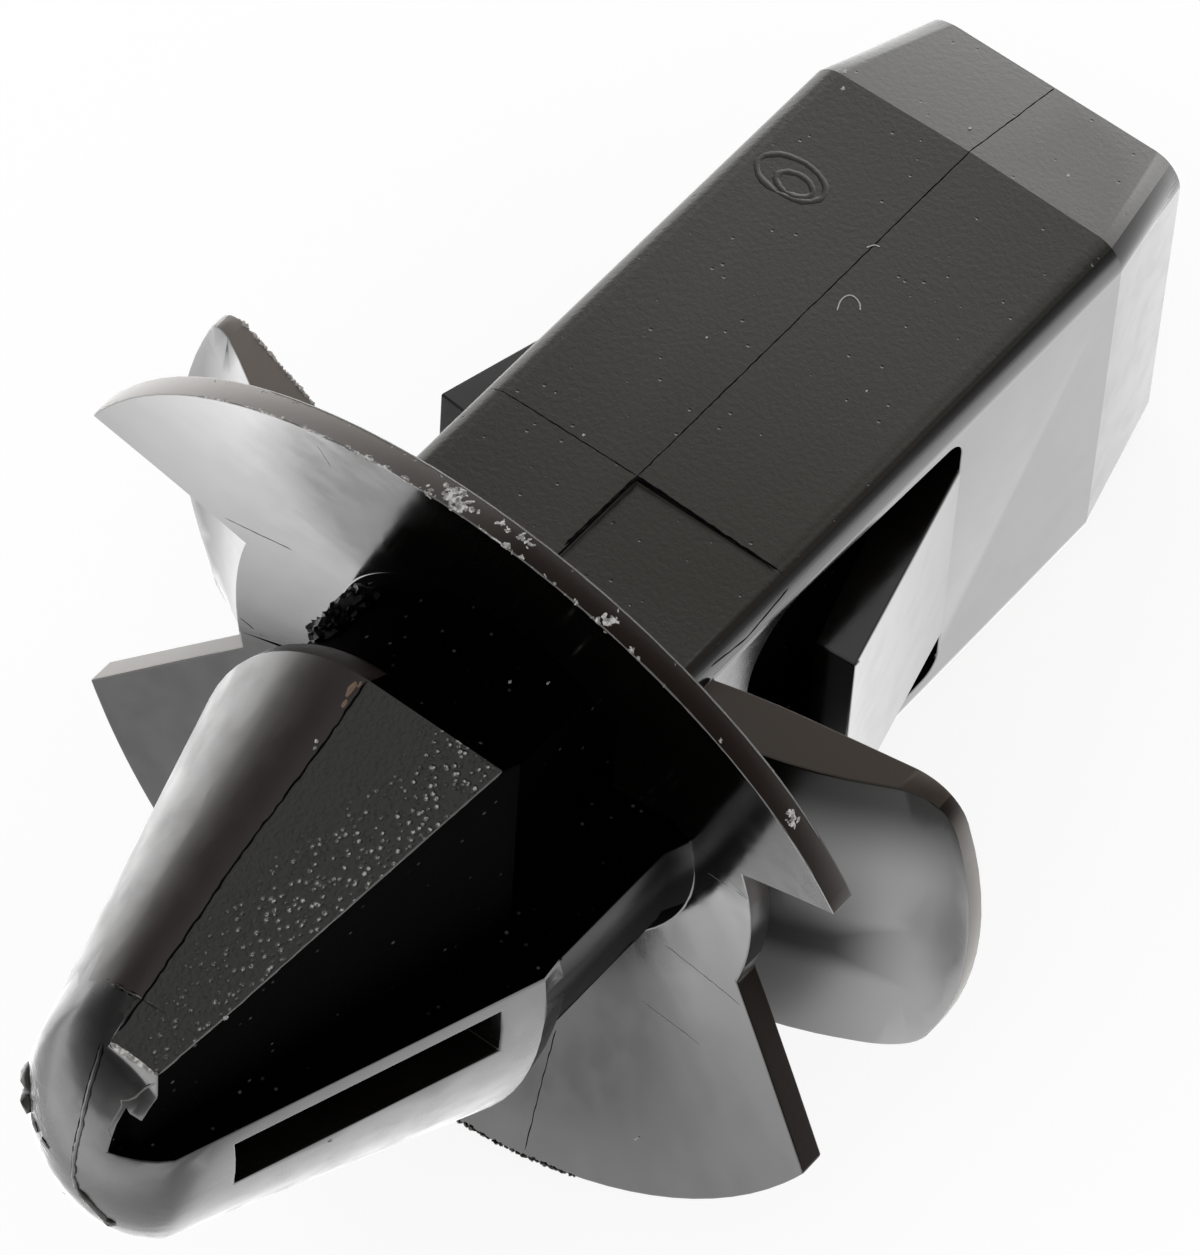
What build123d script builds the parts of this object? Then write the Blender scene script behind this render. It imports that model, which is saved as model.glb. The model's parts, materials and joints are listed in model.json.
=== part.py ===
from build123d import *
import os
from math import atan2, cos, degrees, radians, sin, sqrt

# One-piece moulded push retainer, modelled along +X from its rectangular plug to its nose.
# The pockets, tongues, nose webs and insert seams come twice, half a turn about X apart.

# Plug
plug_width = 7.0
plug_height = 8.72
draft_drop = 0.10       # fall of the top and bottom from the parting plane to the sides, none at the end
plug_round = 0.6
side_taper = 0.57       # how much each side and the top and bottom fall in at the end
top_taper = 0.63
end_cap = 0.15          # rounded skin on the end face
lead_in = 2.65          # length of the tapered end
end_width = plug_width - 2 * side_taper
end_height = plug_height - 2 * top_taper

# Side tongues and the pockets around them
pocket_start = 7.35
pocket_wall = 0.96      # plug left above and below a pocket at the tongue's root
pocket_spread = 0.30    # how much thinner that wall gets at the other end
pocket_depth = 2.20
pocket_corner = 1.4
tongue_length = 4.63
tongue_slit = 0.95      # gap above and below the tongue
tongue_gap = 1.50       # gap past its free end
tongue_flare = 1.20     # how far the free end stands out of the side
tongue_thickness = 0.86
root_thickness = 1.05
tongue_end = pocket_start + tongue_length
pocket_end = tongue_end + tongue_gap
pocket_rise = plug_height / 2 - pocket_wall
tongue_rise = pocket_rise - tongue_slit

# Insert seam: past it one half of the top sits a little lower
seam_back = 1.10        # distance of the seam before the pocket's end
seam_step = 0.12
seam_x = pocket_end - seam_back

# Umbrella: an oval cone whose upper and lower petals are trimmed to slightly different ovals
umbrella_back = 1.22    # plug left between the pockets and the apex of the front surface
umbrella_x = pocket_end + umbrella_back
slope_side = 0.28
slope_top = 0.355
petal_thickness = 0.54
rim_high = (9.35, 8.98)  # half width and half height of the upper petal's rim
rim_low = (9.22, 8.95)
right_notch = {"radius": 5.95, "root": (17.2, -14.4), "tip": (26.5, -26.2)}  # degrees from the side
left_notch = {"radius": 5.84, "root": (16.6, -15.0), "tip": (27.3, -24.6)}

# Rear petals swept back towards the plug
rear_rise = 3.93        # half height
rear_radius = 9.0
rear_rim_back = 0.78    # how far the middle of the rim lies behind the umbrella's apex
rear_rim_thickness = 0.46
rear_right = {"drop": 0.15, "fan": 0.0, "corner": 1.2}  # drop below the axis, narrowing per mm inwards
rear_left = {"drop": 0.13, "fan": 0.25, "corner": 0.5}

# Stem: its two sides differ in width
stem_right = 4.15
stem_left = 3.70
stem_half_height = 3.85
stem_wall = 1.95        # where the open quarters start
root_flare = 0.25       # how far the stem's root swells into the umbrella
root_length = 0.70
floor_height = 0.95

# Nose
stem_length = 5.16      # from the umbrella's apex to the widest place of the nose
nose_x = umbrella_x + stem_length
land_length = 0.50      # short land behind the widest place
land_drop = 0.30        # how far the land falls away towards the stem
nose_right = 4.13
nose_left = 3.85
nose_half_height = 6.06
slope_right = 0.345
slope_left = 0.290
slope_high = 0.4626
nose_length = 7.82
tip_depth = 2.20        # half sizes of the oval ball that rounds the tip
tip_half_width = 2.25
tip_half_height = 3.30
web_back = 2.92         # half width of the flat at the back
web_front = 1.08
tip_length = 0.94       # solid tip past the flats
flat_length = nose_length - tip_length
jog = 0.32              # inward step of the wall on the tip
slot_start = 0.84       # from the widest place
slot_length = 5.10
slot_height = 1.20


def along_x(x, sketch):
    return Plane.YZ.offset(x) * sketch


def oval(x, half_width, half_height):
    return along_x(x, Ellipse(half_width, half_height))


def half_turn(shape):
    return Rot(180, 0, 0) * shape


def plug_section(width, height, corner, drop):
    w, h = width / 2, height / 2
    low = h - drop
    outline = Polygon((0, h), (w, low), (w, -low), (0, -h), (-w, -low), (-w, low), align=None)
    corners = outline.vertices().filter_by(lambda v: abs(v.X) > w / 2)
    return fillet(corners, corner)


def plug_body():
    shoulder = plug_section(plug_width, plug_height, plug_round, draft_drop)
    tip = plug_section(end_width, end_height, plug_round, 0)
    blunt = plug_section(end_width - 2 * end_cap, end_height - 2 * end_cap, plug_round - end_cap / 2, 0)
    end = loft([along_x(-end_cap, blunt), along_x(0, tip)], ruled=True)
    taper = loft([along_x(0, tip), along_x(lead_in, shoulder)], ruled=True)
    length = umbrella_x + slope_top * plug_height / 2 - lead_in
    body = extrude(along_x(lead_in, shoulder), length, dir=(1, 0, 0))
    return end + taper + body


def seam_cut():
    """Lowers one half of the top past the insert seam."""
    low = Pos(seam_x, 0, plug_height / 2 - seam_step)
    return low * Box(nose_x - seam_x, plug_width, plug_height, align=(Align.MIN, Align.MIN, Align.MIN))


def pocket_cut():
    low, high = pocket_rise, pocket_rise + pocket_spread
    outline = Polygon(
        (pocket_start, low), (pocket_end, high), (pocket_end, -high), (pocket_start, -low), align=None
    )
    root = outline.vertices().group_by(Axis.X)[0]
    outline = fillet(root, (pocket_rise - tongue_rise) * 0.45)
    end = outline.vertices().group_by(Axis.X)[-1]
    outline = fillet(end, pocket_corner)
    face = Plane.XZ.offset(pocket_depth - plug_width / 2) * outline
    return extrude(face, pocket_depth + plug_width / 4, dir=(0, 1, 0))


def tongue():
    side = plug_width / 2
    root_x = pocket_start - plug_round
    outline = Polygon(
        (root_x, side), (pocket_start, side), (tongue_end, side + tongue_flare),
        (tongue_end + 0.06, side + tongue_flare - tongue_thickness),
        (pocket_start, side - root_thickness), (root_x, side - root_thickness), align=None,
    )
    return extrude(outline, tongue_rise, both=True)


def oval_cone(apex_x, far_x):
    """Solid oval cone opening towards +X with the umbrella's slopes."""
    near = 0.05
    reach = far_x - apex_x
    small = oval(apex_x + near, near / slope_side, near / slope_top)
    large = oval(far_x, reach / slope_side, reach / slope_top)
    return loft([small, large], ruled=True)


def polar(radius, angle):
    return (radius * cos(radians(angle)), radius * sin(radians(angle)))


def beyond(root, tip):
    """Point outside the rim on the line from root through tip."""
    return (1.6 * tip[0] - 0.6 * root[0], 1.6 * tip[1] - 0.6 * root[1])


def side_notch(radius, root, tip):
    """Opening between the front petals on the +Y side, between two angles at its root and at the rim."""
    reach = rim_high[0] * 1.3
    top_root, low_root = polar(radius, root[0]), polar(radius, root[1])
    top_out = beyond(top_root, polar(rim_high[0], tip[0]))
    low_out = beyond(low_root, polar(rim_low[0], tip[1]))
    outline = make_face(
        [
            ThreePointArc(low_root, polar(radius, 0), top_root),
            Polyline(top_root, top_out, (reach, top_out[1]), (reach, low_out[1]), low_out, low_root),
        ]
    )
    return extrude(along_x(umbrella_x - petal_thickness, outline), reach, dir=(1, 0, 0))


def rim_outline():
    high = EllipticalCenterArc((0, 0), *rim_high, start_angle=0, arc_size=180)
    low = EllipticalCenterArc((0, 0), *rim_low, start_angle=180, arc_size=180)
    return make_face([high, Line(high @ 1, low @ 0), low, Line(low @ 1, high @ 0)])


def umbrella():
    far_x = umbrella_x + rim_low[1] * slope_top * 1.2
    shell = oval_cone(umbrella_x - petal_thickness, far_x) - oval_cone(umbrella_x, far_x + 1)
    rim = along_x(umbrella_x - petal_thickness, rim_outline())
    shell = shell & extrude(rim, far_x - umbrella_x + 1, dir=(1, 0, 0))
    return shell - side_notch(**right_notch) - mirror(side_notch(**left_notch), about=Plane.XZ)


def rear_petal():
    """Profile swept back from the neck, seen along Z, before the round rim trims it."""
    rim_x = umbrella_x - rear_rim_back
    front_x = rim_x + rear_rim_thickness / 2
    back_x = rim_x - rear_rim_thickness / 2
    outer = rear_radius + 0.5
    front = Spline(
        (rim_x + 1.98, 2.4), (rim_x + 1.64, 4.54), (rim_x + 0.84, rear_radius - 2.24),
        (front_x + 0.02, rear_radius - 1), (front_x + 0.1, outer),
    )
    back = Spline(
        (back_x, outer), (back_x + 0.11, rear_radius - 1.3), (rim_x + 0.1, rear_radius - 2.6),
        (rim_x + 0.5, 4.28), (rim_x + 1.13, 2.4),
    )
    profile = make_face([front, Line(front @ 1, back @ 0), back, Line(back @ 1, front @ 0)])
    return extrude(profile, rear_radius, both=True)


def rear_outline(drop, fan, corner):
    """Seen along X: from the axis out to a round end, cut straight above and below."""
    top, low = rear_rise - drop, -rear_rise - drop
    wide_top, wide_low = sqrt(rear_radius**2 - top**2), sqrt(rear_radius**2 - low**2)
    end = ThreePointArc((wide_low, low), (rear_radius, 0), (wide_top, top))
    sides = Polyline(end @ 1, (0, top - fan * wide_top), (0, low), end @ 0)
    face = make_face([end, sides])
    tips = face.vertices().filter_by(lambda v: v.X > rear_radius / 2)
    return extrude(along_x(lead_in, fillet(tips, corner)), nose_x, dir=(1, 0, 0))


def rear_petals():
    left = rear_petal() & rear_outline(**rear_left)
    return (rear_petal() & rear_outline(**rear_right)) + mirror(left, about=Plane.XZ)


def lopsided(x, right, left, half_height):
    """Oval across X whose two sides differ in width."""
    face = make_face(
        [
            EllipticalCenterArc((0, 0), right, half_height, start_angle=-90, arc_size=180),
            EllipticalCenterArc((0, 0), left, half_height, start_angle=90, arc_size=180),
        ]
    )
    return along_x(x, face)


def stem_section(x, grow):
    return lopsided(x, stem_right + grow, stem_left + grow, stem_half_height + grow)


def stem():
    """Oval neck whose root swells into the umbrella's front."""
    root_x = umbrella_x + slope_side * stem_left
    swollen = loft([stem_section(root_x, root_flare), stem_section(root_x + root_length, 0)], ruled=True)
    inside = loft([stem_section(umbrella_x, 0), stem_section(root_x, 0)], ruled=True)
    neck = loft([stem_section(root_x + root_length, 0), stem_section(nose_x, 0)], ruled=True)
    return inside + swollen + neck


def tip_cut():
    """Space around the oval ball that rounds the tip."""
    centre = nose_x + nose_length - tip_depth
    ball = scale(Sphere(1), by=(tip_depth, tip_half_width, tip_half_height))
    block = Pos(centre + tip_depth / 5, 0, 0) * Box(
        2 * tip_depth, 4 * tip_half_width, 4 * tip_half_height, align=(Align.MIN, Align.CENTER, Align.CENTER)
    )
    return block - Pos(centre, 0, 0) * ball


def nose_cone():
    """Land and oval cone, ending in the rounded tip."""
    land_x = nose_x - land_length
    front = nose_length + 0.3
    widest = lopsided(nose_x, nose_right, nose_left, nose_half_height)
    inset = land_drop / 6
    back = lopsided(land_x, nose_right - inset, nose_left - inset, nose_half_height - land_drop)
    tip = lopsided(
        nose_x + front,
        nose_right - slope_right * front,
        nose_left - slope_left * front,
        nose_half_height - slope_high * front,
    )
    return loft([back, widest], ruled=True) + loft([widest, tip], ruled=True) - tip_cut()


def open_quarter():
    """Space cut from the +Y, +Z quarter of the stem and nose, above the floor."""
    far = 3 * nose_half_height
    start, land_x = umbrella_x - 1, nose_x - land_length
    flat_x, end = nose_x + flat_length, nose_x + nose_length + 1
    outline = Polygon(
        (start, stem_wall), (land_x, stem_wall), (land_x, web_back), (nose_x, web_back), (flat_x, web_front),
        (flat_x + jog, web_front - jog / 4), (flat_x + 1.3 * jog, web_front - 1.3 * jog),
        (end, web_front - 2 * jog), (end, far), (start, far), align=None,
    )
    return extrude(Pos(0, 0, floor_height) * outline, far, dir=(0, 0, 1))


def flat_web():
    """The flat-topped half of the nose, between the parting plane and its wall."""
    land_x, flat_x = nose_x - land_length, nose_x + flat_length
    low = nose_half_height - slope_high * flat_length
    side = Polygon(
        (land_x, 0), (land_x, nose_half_height - land_drop), (nose_x, nose_half_height), (flat_x, low),
        (flat_x, 0), align=None,
    )
    slab = extrude(Plane.XZ * side, web_back, dir=(0, 1, 0))
    wall = Polygon(
        (land_x, 0), (land_x, web_back), (nose_x, web_back), (flat_x, web_front), (flat_x, 0), align=None
    )
    return slab & extrude(wall, nose_half_height, dir=(0, 0, 1))


def slot_cut():
    centre = nose_x + slot_start + slot_length / 2
    return Pos(centre, 0, 0) * Box(slot_length, 4 * nose_right, slot_height)


def nose():
    web = flat_web()
    solid = nose_cone() + stem() - open_quarter() - half_turn(open_quarter())
    return solid + web + half_turn(web)


def retainer():
    body = plug_body() - seam_cut() - half_turn(seam_cut())
    body = body - pocket_cut() - half_turn(pocket_cut())
    body = body + tongue() + half_turn(tongue())
    front = oval_cone(umbrella_x - petal_thickness / 2, nose_x)
    body = body - front
    body = body + umbrella() + rear_petals()
    return body + nose() - slot_cut()


def at_rest(shape):
    """Lies on the plug's end edge and the lower petal's rim, nose raised."""
    rim_x = umbrella_x - petal_thickness + slope_top * rim_low[1]
    tilt = degrees(atan2(rim_low[1] - end_height / 2 + end_cap, rim_x + end_cap))
    turned = Rot(0, -tilt, 0) * shape
    box = turned.bounding_box()
    shift = (-(box.min.X + box.max.X) / 2, -(box.min.Y + box.max.Y) / 2, -box.min.Z)
    print("lies at a tilt of", tilt, "degrees, shifted by", shift)
    return Pos(*shift) * turned


os.makedirs("parts", exist_ok=True)
export_step(at_rest(retainer()), "parts/retainer.step")
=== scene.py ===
import json
import math
import random
import bpy
from mathutils import Euler, Matrix, Vector
from mathutils.bvhtree import BVHTree


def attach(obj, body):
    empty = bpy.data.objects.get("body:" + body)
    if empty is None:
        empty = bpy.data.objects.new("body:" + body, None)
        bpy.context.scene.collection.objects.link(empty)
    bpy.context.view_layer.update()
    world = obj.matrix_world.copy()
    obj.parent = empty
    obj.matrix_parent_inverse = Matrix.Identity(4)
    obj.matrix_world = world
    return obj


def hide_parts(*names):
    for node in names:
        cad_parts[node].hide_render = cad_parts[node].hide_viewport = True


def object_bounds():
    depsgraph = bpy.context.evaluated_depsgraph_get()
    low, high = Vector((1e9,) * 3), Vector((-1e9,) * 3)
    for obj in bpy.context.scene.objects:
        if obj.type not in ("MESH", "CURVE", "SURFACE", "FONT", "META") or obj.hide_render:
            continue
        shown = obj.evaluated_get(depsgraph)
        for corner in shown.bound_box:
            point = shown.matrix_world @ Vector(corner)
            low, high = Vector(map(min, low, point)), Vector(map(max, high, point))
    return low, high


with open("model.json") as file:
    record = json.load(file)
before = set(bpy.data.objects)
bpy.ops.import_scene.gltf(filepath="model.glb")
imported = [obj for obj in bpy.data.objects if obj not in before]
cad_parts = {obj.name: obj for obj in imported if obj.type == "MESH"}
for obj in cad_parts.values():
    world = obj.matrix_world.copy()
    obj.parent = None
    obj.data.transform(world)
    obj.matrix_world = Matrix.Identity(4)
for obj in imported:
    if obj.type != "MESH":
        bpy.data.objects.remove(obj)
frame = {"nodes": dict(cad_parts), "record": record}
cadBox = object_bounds()
print("frame loaded")

mm = 0.001
degree = math.pi / 180

# The plug's end mount gives where the moulding lies and which way it points.
# Lengths below are in mm along the moulding: x from the plug to the nose, y across, z up.
plugEnd = next(m for m in frame["record"]["mounts"] if m["name"] == "plug_end")
plugEndX = -0.15  # of that mount
alongBody = -Vector(plugEnd["axis"])
acrossBody = Vector((0, 1, 0))
upBody = alongBody.cross(acrossBody)
bodyStart = Vector(plugEnd["pos_m"]) - alongBody * plugEndX * mm
bodyTurn = Matrix((alongBody, acrossBody, upBody)).transposed()
turnBack = bodyTurn.inverted()
bodyMatrix = Matrix.Translation(bodyStart) @ bodyTurn.to_4x4()

# Sizes of the moulding that the details below are laid out by
shape = {
    "plugHalfHeight": 4.36,
    "leadIn": 2.65,
    "pocket": (7.35, 13.48),
    "pocketFloor": 1.3,
    "umbrellaX": 14.7,
    "slopes": (0.28, 0.355),
    "rim": (9.35, 8.98),
    "noseX": 19.86,
    "noseHalfHeight": 6.06,
    "flatSlope": 0.4626,
    "floor": 0.95,
    "ballX": 25.9,
    "tipBall": (25.48, 2.2, 2.25, 3.3),  # middle and half sizes of the rounded tip
}


def place(point):
    return bodyMatrix @ (Vector(point) * mm)


def measured(point):
    # A scene point in mm along the moulding
    return bodyMatrix.inverted() @ point / mm


def linear(hexColour):
    # sRGB hex to the linear numbers a shader takes
    shares = [int(hexColour[i:i + 2], 16) / 255 for i in (1, 3, 5)]
    return tuple(s / 12.92 if s < 0.04045 else ((s + 0.055) / 1.055) ** 2.4 for s in shares) + (1,)


def result(node):
    return next(socket for socket in node.outputs if socket.enabled)


# Settings that all nodes of a kind have here: ranges end softly and mixed values are colours
usual = {"MapRange": {"interpolation_type": "SMOOTHSTEP"}, "Mix": {"data_type": "RGBA"}}


def addNode(tree, kind, *inputs, **settings):
    # Adds a node. Its inputs, in order or by name, are numbers, sockets or the nodes that feed them
    node = tree.nodes.new("ShaderNode" + kind)
    filled = []
    for name, value in {**usual.get(kind, {}), **settings}.items():
        if hasattr(node, name):
            setattr(node, name, value)
        else:
            filled.append((node.inputs[name.replace("_", " ")], value))
    filled += zip([s for s in node.inputs if s.enabled], inputs)
    for socket, value in filled:
        if isinstance(value, bpy.types.Node):
            value = result(value)
        if isinstance(value, bpy.types.NodeSocket):
            tree.links.new(value, socket)
        else:
            socket.default_value = value
    return node


def newTree(name):
    material = bpy.data.materials.new(name)
    material.use_nodes = True
    material.node_tree.nodes.clear()
    return material, material.node_tree


def newNylon(name):
    # Starts a material, with its object coordinates turned into mm along the moulding
    material, tree = newTree(name)
    where = addNode(tree, "TexCoord").outputs["Object"]
    start = -(turnBack @ bodyStart) / mm
    spot = addNode(tree, "Mapping", where, Location=start, Rotation=turnBack.to_euler(), Scale=(1 / mm,) * 3)
    return material, tree, spot


def scattered(tree, spot, scale):
    # Small round places spread at random: the distance to the nearest one, and a random number for each
    cells = addNode(tree, "TexVoronoi", spot, Scale=scale)
    return cells.outputs["Distance"], addNode(tree, "SeparateColor", cells.outputs["Color"])


def fillRamp(node, stops):
    # Gives a colour ramp its stops, each a place and a colour
    elements = node.color_ramp.elements
    while len(elements) < len(stops):
        elements.new(0.5)
    for element, (position, colour) in zip(elements, stops):
        element.position = position
        element.color = colour


def finishMaterial(material, look, height=None, colourNode=None, **changed):
    # One Principled shader. The bump rises by the depth in mm where the height is 1
    tree = material.node_tree
    look = {**look, **changed}
    shader = addNode(
        tree,
        "BsdfPrincipled",
        Base_Color=linear(look["colour"]),
        Roughness=look["roughness"],
        IOR=look["ior"],
        Specular_IOR_Level=look["level"],
    )
    if height:
        bump = addNode(tree, "Bump", Height=height, Distance=look["depth"] * mm)
        tree.links.new(result(bump), shader.inputs["Normal"])
    if colourNode:
        tree.links.new(result(colourNode), shader.inputs["Base Color"])
    addNode(tree, "OutputMaterial", shader)
    return material


# In the materials, a pattern's scale is its features per mm. Four numbers in a row are a fade:
# two values, and what holds at each of them. With only two numbers it goes from 0 to 1.
noiseSpan = (0.3, 0.7)  # where most of a noise pattern's values lie

polished = {
    "colour": "#0d0b09",
    "skin": (0.13, 0.20),  # roughness, lowest and highest
    "satin": (0.20, 0.30),
    "flank": (0.30, 0.40),
    "paintedFlankLight": "#21150f",  # painted light: lighter, warmer colour of the left flank only
    "ior": 1.7,
    "level": 0.5,
    "leadInLevel": 0.12,
    "depth": 1.0,
    "patchScale": 1.3,
    "rippleScale": 0.55,  # sink ripples nearly 2 mm long
    "ripple": 0.0018,  # mm
    "grainScale": 16.0,  # about 0.06 mm wide
    "grain": 0.0006,
    "gate": (27.3, -1.2, 0.3),  # place of the torn gate on the tip
    "gateReach": (1.1, 0.5),
    "pitScale": 7.0,
    "pit": 0.03,
}


def polishedNylon(name, roughness, **changed):
    # Glossy black skin that shows soft reflections with slight sink ripples, and pits at the torn gate
    material, tree, spot = newNylon(name)
    patches = addNode(tree, "TexNoise", spot, Scale=polished["patchScale"], Detail=3)
    rough = addNode(tree, "MapRange", patches, *noiseSpan, *roughness)
    slow = addNode(tree, "TexNoise", spot, Scale=polished["rippleScale"], Detail=1)
    fine = addNode(tree, "TexNoise", spot, Scale=polished["grainScale"], Detail=2)
    ripples = addNode(tree, "Math", slow, polished["ripple"], operation="MULTIPLY")
    grain = addNode(tree, "Math", fine, polished["grain"], operation="MULTIPLY")
    height = addNode(tree, "Math", ripples, grain, operation="ADD")
    away = addNode(tree, "VectorMath", spot, polished["gate"], operation="DISTANCE")
    torn = addNode(tree, "MapRange", away, *polished["gateReach"])
    pits = addNode(tree, "TexNoise", spot, Scale=polished["pitScale"], Detail=3)
    for factor in (torn, polished["pit"]):
        pits = addNode(tree, "Math", pits, factor, operation="MULTIPLY")
    height = addNode(tree, "Math", height, pits, operation="ADD")
    return finishMaterial(material, polished, height, roughness=rough, **changed)


rearPetal = {
    "colour": "#0d0b09",
    "roughness": 0.34,
    "ior": 2.0,
    # Painted shade: the sheen is turned down up the petal, towards the stem and along one dark streak,
    # copying dark reflections
    "sheen": (1.0, 3.3, 0.66, 0.07),  # up the petal
    "inwards": (6.0, 8.4, 0.5, 1.0),  # from the stem outwards
    "shadeStreakHeight": -1.2,
    "shadeStreak": (0.15, 1.0, 0.15, 1.0),  # above and below its middle
    "shadeStreakEnd": (6.2, 8.2),
    "rippleScale": 0.7,
    "ripple": 0.002,
    "depth": 1.0,
}


def rearPetalNylon():
    # Satin face of the swept petals, with painted shade: its sheen is turned down under the umbrella,
    # towards the stem and in one dark streak
    material, tree, spot = newNylon("black nylon, satin petal with painted shade")
    split = addNode(tree, "SeparateXYZ", spot)
    y, z = split.outputs["Y"], split.outputs["Z"]
    sheen = addNode(tree, "MapRange", z, *rearPetal["sheen"])
    inwards = addNode(tree, "MapRange", y, *rearPetal["inwards"])
    level = addNode(tree, "Math", sheen, inwards, operation="MULTIPLY")
    away = addNode(tree, "Math", z, rearPetal["shadeStreakHeight"], operation="SUBTRACT")
    away = addNode(tree, "Math", away, operation="ABSOLUTE")
    shadeStreak = addNode(tree, "MapRange", away, *rearPetal["shadeStreak"])
    clear = addNode(tree, "MapRange", y, *rearPetal["shadeStreakEnd"])
    shadeStreak = addNode(tree, "Math", shadeStreak, clear, operation="MAXIMUM")
    level = addNode(tree, "Math", level, shadeStreak, operation="MULTIPLY")
    slow = addNode(tree, "TexNoise", spot, Scale=rearPetal["rippleScale"], Detail=2)
    height = addNode(tree, "Math", slow, rearPetal["ripple"], operation="MULTIPLY")
    return finishMaterial(material, rearPetal, height, level=level)


eroded = {
    "colour": "#272319",
    "roughness": 0.30,
    "ior": 1.62,
    "sheen": 0.48,
    "dullEdge": (-3.4, -2.95, 0.10, 1.0),  # painted shade: where the sheen on the left edge's rounding is turned down
    "dullFront": (6.0, 14.5, 1.0, 0.66),
    "scale": 9.0,  # grains about 0.1 mm wide
    "grain": 0.0062,
    "pitScale": 5.0,
    "pitDepth": 0.012,
    "pit": (0.20, 0.06),
    "pitted": (0.86, 0.88),  # only cells of the pattern above this have a pit
    "depth": 1.0,
}


def erodedNylon():
    # Fine spark-eroded texture of the plug's faces, which breaks the sheen into small dull grains
    material, tree, spot = newNylon("black nylon, spark-eroded grain")
    grains = addNode(tree, "TexNoise", spot, Scale=eroded["scale"], Detail=3, Roughness=0.65)
    distance, pick = scattered(tree, spot, eroded["pitScale"])
    chosen = addNode(tree, "MapRange", pick, *eroded["pitted"])
    pits = addNode(tree, "MapRange", distance, *eroded["pit"])
    for factor in (chosen, eroded["pitDepth"]):
        pits = addNode(tree, "Math", pits, factor, operation="MULTIPLY")
    height = addNode(tree, "Math", grains, eroded["grain"], operation="MULTIPLY")
    height = addNode(tree, "Math", height, pits, operation="SUBTRACT")
    split = addNode(tree, "SeparateXYZ", spot)
    # Painted shade on the left edge's rounding: its sheen is turned down
    edgeShare = addNode(tree, "MapRange", split.outputs["Y"], *eroded["dullEdge"])
    frontShare = addNode(tree, "MapRange", split.outputs["X"], *eroded["dullFront"])
    share = addNode(tree, "Math", edgeShare, frontShare, operation="MULTIPLY")
    level = addNode(tree, "Math", share, eroded["sheen"], operation="MULTIPLY")
    return finishMaterial(material, eroded, height, level=level)


sparkle = {
    "colour": "#1e1c19",
    # Painted highlight: the pale colour given to the dome tops as glints
    "paintedGlint": "#c4c2bd",
    "roughness": 0.33,
    "ior": 1.75,
    "level": 0.5,
    "start": (19.9, 24.5, 1.1, -0.2),  # how far from the middle the grain thickens, along the nose
    "thicken": (-0.3, 1.4),
    "thinAhead": (21.0, 26.5, 1.0, 0.48),
    "scale": 8.8,  # domes about 0.11 mm apart
    "depth": 0.050,
    "sizes": (0.05, 0.80, 0.15, 1.0),
    "dome": (0.60, 0.10),
    "top": (0.46, 0.16),
    "breakScale": 26.0,  # noise that breaks the round glints up
    "breaks": (0.38, 0.60, 0.25, 1.0),
    "paintedGlinting": (0.08, 0.70),
    "fineScale": 10.0,
    "fine": 0.42,
}


def sparkleNylon():
    # Coarse grain of the nose's flats: small domes whose tops carry painted glints in pale colour, thickest
    # towards the outer edge
    material, tree, spot = newNylon("black nylon, coarse grain with painted glints")
    split = addNode(tree, "SeparateXYZ", spot)
    side = addNode(tree, "Math", split.outputs["Y"], operation="ABSOLUTE")
    start = addNode(tree, "MapRange", split.outputs["X"], *sparkle["start"])
    beyond = addNode(tree, "Math", side, start, operation="SUBTRACT")
    amount = addNode(tree, "MapRange", beyond, *sparkle["thicken"])
    ahead = addNode(tree, "MapRange", split.outputs["X"], *sparkle["thinAhead"])
    amount = addNode(tree, "Math", amount, ahead, operation="MULTIPLY")
    distance, pick = scattered(tree, spot, sparkle["scale"])
    pick = addNode(tree, "MapRange", pick, *sparkle["sizes"])
    domes = addNode(tree, "MapRange", distance, *sparkle["dome"])
    for factor in (pick, amount):
        domes = addNode(tree, "Math", domes, factor, operation="MULTIPLY")
    tops = addNode(tree, "MapRange", distance, *sparkle["top"])
    breaks = addNode(tree, "TexNoise", spot, Scale=sparkle["breakScale"], Detail=2)
    breaks = addNode(tree, "MapRange", breaks, *sparkle["breaks"])
    for factor in (breaks, pick, amount):
        tops = addNode(tree, "Math", tops, factor, operation="MULTIPLY")
    tops = addNode(tree, "MapRange", tops, *sparkle["paintedGlinting"])
    paintedGlints = addNode(tree, "Mix", tops, linear(sparkle["colour"]), linear(sparkle["paintedGlint"]))
    fine = addNode(tree, "TexNoise", spot, Scale=sparkle["fineScale"], Detail=3, Roughness=0.6)
    fine = addNode(tree, "Math", fine, sparkle["fine"], operation="MULTIPLY")
    height = addNode(tree, "Math", domes, fine, operation="ADD")
    return finishMaterial(material, sparkle, height, paintedGlints)


cutEdge = {
    "colour": "#1e1713",
    "roughness": 0.42,
    "ior": 1.5,
    "level": 0.25,
    "across": (-7.0, 9.0),
    # Scuffed pale on the left, brown to the right, and a painted highlight on the rear petal's outer rim
    "shades": (
        (0.0, "#c8c4c0"), (0.375, "#625d59"), (0.53, "#20140d"), (0.955, "#20140d"), (0.98, "#8d8984"),
    ),
    "grainScale": 9.0,
    "depth": 0.003,
}


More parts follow.
